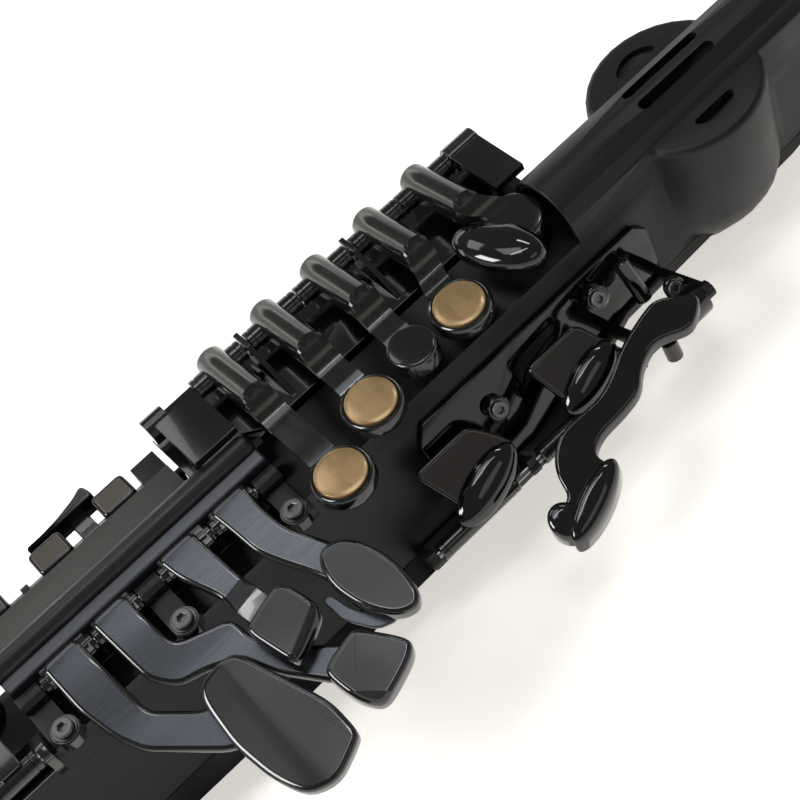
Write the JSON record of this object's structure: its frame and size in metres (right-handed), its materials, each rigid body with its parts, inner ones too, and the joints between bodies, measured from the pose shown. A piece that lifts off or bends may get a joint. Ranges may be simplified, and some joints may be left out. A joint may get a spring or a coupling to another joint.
{
  "type": "digital wind controller",
  "caption": "Saxophone-shaped electronic wind instrument with sprung keys, a bell, a mouthpiece with a reed and a speaker drum on the upper body.",
  "frame": {"origin": "centre of the flat back of the speaker drum, on which the instrument lies", "axes": "+X along the body towards the mouthpiece, +Z out of the key side, +Y to the player's right hand"},
  "size_m": [0.6978, 0.148, 0.1135],
  "materials": {
    "casing_black": "satin",
    "gloss_black": "gloss",
    "key_lacquer": "gloss",
    "strap_lacquer": "satin",
    "rod_steel": "satin",
    "pearl_gold": "satin",
    "ligature_brass": "gloss",
    "soft_black": "matte",
    "reed_cane": "matte",
    "board_green": "satin"
  },
  "bodies": {
    "body": {"front_shell": "casing_black", "back_shell": "casing_black", "palm_plate": "gloss_black", "ridge_rail": "casing_black", "side_key_deck": "strap_lacquer", "bell": "casing_black", "neck_tube": "casing_black", "mouthpiece": "gloss_black", "reed": "reed_cane", "ligature": "ligature_brass", "upper_stack_rod": "rod_steel", "upper_stack_rail": "key_lacquer", "table_bracket": "casing_black", "table_rod": "rod_steel", "side_bracket": "casing_black", "side_rod": "rod_steel", "palm_bracket": "casing_black", "palm_rod": "rod_steel", "lower_stack_rod": "rod_steel", "lower_stack_rail": "key_lacquer", "thumb_rest": "casing_black", "control_panel": "gloss_black", "strap_ring": "rod_steel", "thumb_hook": "casing_black", "battery_pack": "rod_steel", "main_board": "board_green", "speaker_driver": "soft_black"},
    "front_f": {"key_front_f": "key_lacquer"},
    "b": {"key_b": "key_lacquer", "pearl_b": "pearl_gold"},
    "bis": {"key_bis": "key_lacquer"},
    "a": {"key_a": "key_lacquer", "pearl_a": "pearl_gold"},
    "g": {"key_g": "key_lacquer", "pearl_g": "pearl_gold"},
    "g_sharp": {"key_g_sharp": "strap_lacquer"},
    "c_sharp": {"key_c_sharp": "strap_lacquer"},
    "low_b": {"key_low_b": "strap_lacquer"},
    "low_b_flat": {"key_low_b_flat": "strap_lacquer"},
    "side_e": {"key_side_e": "gloss_black"},
    "side_c": {"key_side_c": "gloss_black"},
    "side_b_flat": {"key_side_b_flat": "gloss_black"},
    "high_f_sharp": {"key_high_f_sharp": "key_lacquer"},
    "palm_d": {"key_palm_d": "gloss_black"},
    "palm_e_flat": {"key_palm_e_flat": "gloss_black"},
    "palm_f": {"key_palm_f": "key_lacquer"},
    "f": {"key_f": "key_lacquer", "pearl_f": "pearl_gold"},
    "e": {"key_e": "key_lacquer", "pearl_e": "pearl_gold"},
    "d": {"key_d": "key_lacquer", "pearl_d": "pearl_gold"},
    "low_e_flat": {"key_low_e_flat": "gloss_black"},
    "low_c": {"key_low_c": "gloss_black"},
    "octave": {"key_octave": "gloss_black"},
    "stick": {"thumb_stick": "soft_black"},
    "dial": {"volume_dial": "soft_black"},
    "power": {"power_button": "soft_black"},
    "select": {"select_button": "soft_black"},
    "cover": {"battery_cover": "casing_black"}
  },
  "joints": [
    {"name": "front_f_press", "type": "hinge", "parent": "body", "child": "front_f", "pos_m": [-0.0828, 0.042, 0.07], "axis": [1, 0, 0], "range_deg": [0, 4.5], "stiffness_Nm_per_rad": 0.08, "springref_deg": -17.19},
    {"name": "b_press", "type": "hinge", "parent": "body", "child": "b", "pos_m": [-0.1058, 0.042, 0.07], "axis": [1, 0, 0], "range_deg": [0, 4.5], "stiffness_Nm_per_rad": 0.08, "springref_deg": -17.19},
    {"name": "bis_press", "type": "hinge", "parent": "body", "child": "bis", "pos_m": [-0.1308, 0.042, 0.07], "axis": [1, 0, 0], "range_deg": [0, 4.5], "stiffness_Nm_per_rad": 0.08, "springref_deg": -17.19},
    {"name": "a_press", "type": "hinge", "parent": "body", "child": "a", "pos_m": [-0.1541, 0.042, 0.07], "axis": [1, 0, 0], "range_deg": [0, 4.5], "stiffness_Nm_per_rad": 0.08, "springref_deg": -17.19},
    {"name": "g_press", "type": "hinge", "parent": "body", "child": "g", "pos_m": [-0.1784, 0.042, 0.07], "axis": [1, 0, 0], "range_deg": [0, 4.5], "stiffness_Nm_per_rad": 0.08, "springref_deg": -17.19},
    {"name": "g_sharp_press", "type": "hinge", "parent": "body", "child": "g_sharp", "pos_m": [-0.209, 0, 0.062], "axis": [1, 0, 0], "range_deg": [0, 3.5], "stiffness_Nm_per_rad": 0.08, "springref_deg": -17.19},
    {"name": "c_sharp_press", "type": "hinge", "parent": "body", "child": "c_sharp", "pos_m": [-0.2295, 0, 0.062], "axis": [1, 0, 0], "range_deg": [0, 3.5], "stiffness_Nm_per_rad": 0.08, "springref_deg": -17.19},
    {"name": "low_b_press", "type": "hinge", "parent": "body", "child": "low_b", "pos_m": [-0.2593, 0, 0.062], "axis": [1, 0, 0], "range_deg": [0, 3.5], "stiffness_Nm_per_rad": 0.12, "springref_deg": -22.92},
    {"name": "low_b_flat_press", "type": "hinge", "parent": "body", "child": "low_b_flat", "pos_m": [-0.2797, 0, 0.062], "axis": [1, 0, 0], "range_deg": [0, 3.5], "stiffness_Nm_per_rad": 0.12, "springref_deg": -22.92},
    {"name": "side_e_press", "type": "hinge", "parent": "body", "child": "side_e", "pos_m": [-0.233, 0.039, 0.0545], "axis": [-1, 0, 0], "range_deg": [0, 8], "stiffness_Nm_per_rad": 0.03, "springref_deg": -17.19},
    {"name": "side_c_press", "type": "hinge", "parent": "body", "child": "side_c", "pos_m": [-0.261, 0.039, 0.0545], "axis": [-1, 0, 0], "range_deg": [0, 8], "stiffness_Nm_per_rad": 0.03, "springref_deg": -17.19},
    {"name": "side_b_flat_press", "type": "hinge", "parent": "body", "child": "side_b_flat", "pos_m": [-0.289, 0.039, 0.0545], "axis": [-1, 0, 0], "range_deg": [0, 8], "stiffness_Nm_per_rad": 0.03, "springref_deg": -17.19},
    {"name": "high_f_sharp_press", "type": "hinge", "parent": "body", "child": "high_f_sharp", "pos_m": [-0.2465, 0.039, 0.0545], "axis": [-1, 0, 0], "range_deg": [0, 5], "stiffness_Nm_per_rad": 0.03, "springref_deg": -17.19},
    {"name": "palm_d_press", "type": "hinge", "parent": "body", "child": "palm_d", "pos_m": [-0.1515, -0.0445, 0.0275], "axis": [-1, 0, 0], "range_deg": [0, 6], "stiffness_Nm_per_rad": 0.06, "springref_deg": -17.19},
    {"name": "palm_e_flat_press", "type": "hinge", "parent": "body", "child": "palm_e_flat", "pos_m": [-0.1, -0.0445, 0.0275], "axis": [-1, 0, 0], "range_deg": [0, 6], "stiffness_Nm_per_rad": 0.06, "springref_deg": -17.19},
    {"name": "palm_f_press", "type": "hinge", "parent": "body", "child": "palm_f", "pos_m": [-0.054, -0.044, 0.03], "axis": [1, 0, 0], "range_deg": [0, 6], "stiffness_Nm_per_rad": 0.06, "springref_deg": -17.19},
    {"name": "f_press", "type": "hinge", "parent": "body", "child": "f", "pos_m": [-0.314, -0.018, 0.061], "axis": [-1, 0, 0], "range_deg": [0, 4], "stiffness_Nm_per_rad": 0.06, "springref_deg": -17.19},
    {"name": "e_press", "type": "hinge", "parent": "body", "child": "e", "pos_m": [-0.337, -0.018, 0.061], "axis": [-1, 0, 0], "range_deg": [0, 4], "stiffness_Nm_per_rad": 0.06, "springref_deg": -17.19},
    {"name": "d_press", "type": "hinge", "parent": "body", "child": "d", "pos_m": [-0.36, -0.018, 0.061], "axis": [-1, 0, 0], "range_deg": [0, 4], "stiffness_Nm_per_rad": 0.06, "springref_deg": -17.19},
    {"name": "low_e_flat_press", "type": "hinge", "parent": "body", "child": "low_e_flat", "pos_m": [-0.377, -0.018, 0.061], "axis": [-1, 0, 0], "range_deg": [0, 4], "stiffness_Nm_per_rad": 0.06, "springref_deg": -17.19},
    {"name": "low_c_press", "type": "hinge", "parent": "body", "child": "low_c", "pos_m": [-0.389, -0.018, 0.061], "axis": [-1, 0, 0], "range_deg": [0, 4], "stiffness_Nm_per_rad": 0.06, "springref_deg": -17.19},
    {"name": "octave_press", "type": "hinge", "parent": "body", "child": "octave", "pos_m": [-0.104, 0, 0.0062], "axis": [0, -1, 0], "range_deg": [0, 7], "stiffness_Nm_per_rad": 0.03, "springref_deg": -17.19},
    {"name": "stick_tilt", "type": "hinge", "parent": "body", "child": "stick", "pos_m": [-0.152, 0, 0.0132], "axis": [0, 1, 0], "range_deg": [-10, 10], "stiffness_Nm_per_rad": 0.03},
    {"name": "dial_turn", "type": "hinge", "parent": "body", "child": "dial", "pos_m": [-0.181, 0, 0.008], "axis": [0, 0, 1], "range_deg": [-150, 150]},
    {"name": "power_push", "type": "slide", "parent": "body", "child": "power", "axis": [0, 0, 1], "range_m": [0, 0.0009], "stiffness_N_per_m": 500, "springref_m": -0.001},
    {"name": "select_push", "type": "slide", "parent": "body", "child": "select", "axis": [0, 0, 1], "range_m": [0, 0.0009], "stiffness_N_per_m": 500, "springref_m": -0.001},
    {"name": "cover_open", "type": "hinge", "parent": "body", "child": "cover", "pos_m": [-0.3942, 0, 0.016], "axis": [0, 1, 0], "range_deg": [0, 95]}
  ]
}
